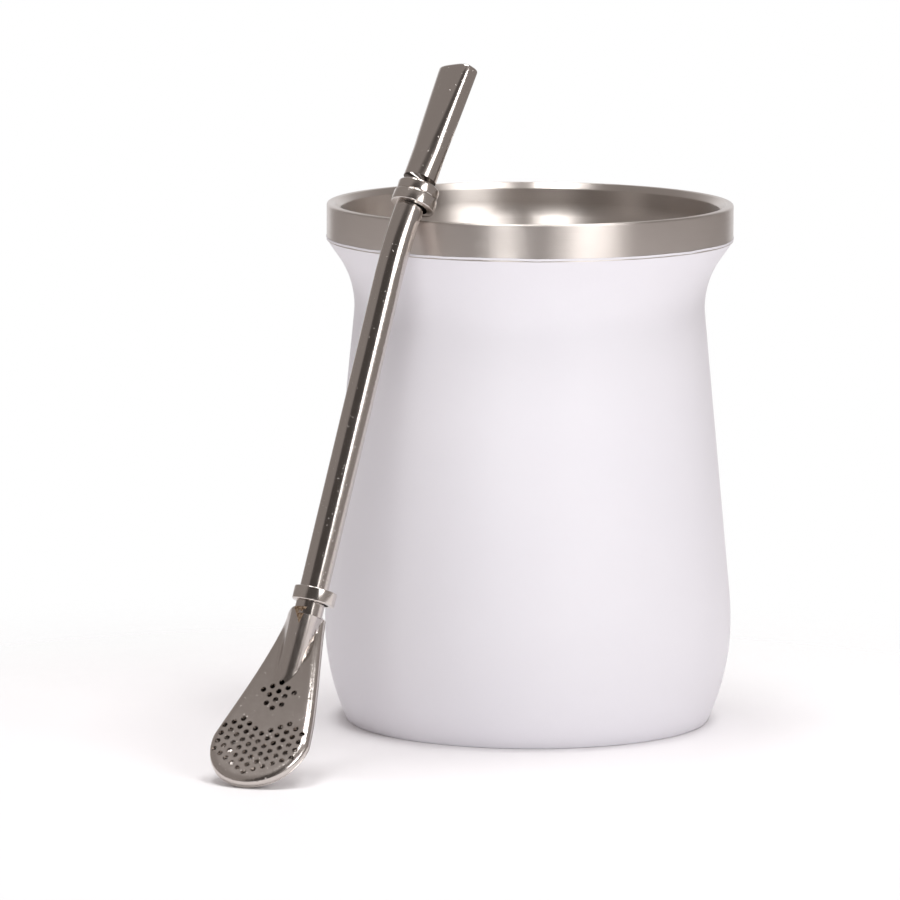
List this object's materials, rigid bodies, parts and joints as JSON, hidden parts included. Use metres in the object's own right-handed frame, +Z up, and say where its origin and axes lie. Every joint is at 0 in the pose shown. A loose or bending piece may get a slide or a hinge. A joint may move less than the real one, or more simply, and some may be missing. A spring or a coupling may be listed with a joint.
{
  "type": "mate cup with metal drinking straw",
  "caption": "Double-walled steel mate cup, coated outside with a bare flared rim, and a metal drinking straw with a perforated filter spoon that leans on it.",
  "frame": {"origin": "the middle of the cup's flat base, on the cup's axis", "axes": "+Z up along the cup's axis; the straw stands in front of the cup at -Y and to its left at -X, and leans back over the rim"},
  "size_m": [0.1007, 0.1195, 0.1316],
  "materials": {
    "coated_shell": "fine-grained powder coating, matte, cool white",
    "steel_liner": "brushed round the axis, with a smoother bright lip",
    "straw_stem": "polished, slightly pitted",
    "straw_mouthpiece": "polished, slightly pitted",
    "lower_collar": "turned and polished",
    "upper_collar": "turned and polished",
    "filter_front": "pressed sheet, satin, with a bright rim",
    "filter_back": "pressed sheet, satin, with a bright rim"
  },
  "bodies": {
    "root": {"cup_shell": "coated_shell", "steel_liner": "steel_liner", "straw_stem": "straw_stem", "straw_mouthpiece": "straw_mouthpiece", "lower_collar": "lower_collar", "upper_collar": "upper_collar", "filter_front": "filter_front", "filter_back": "filter_back"}
  },
  "joints": []
}
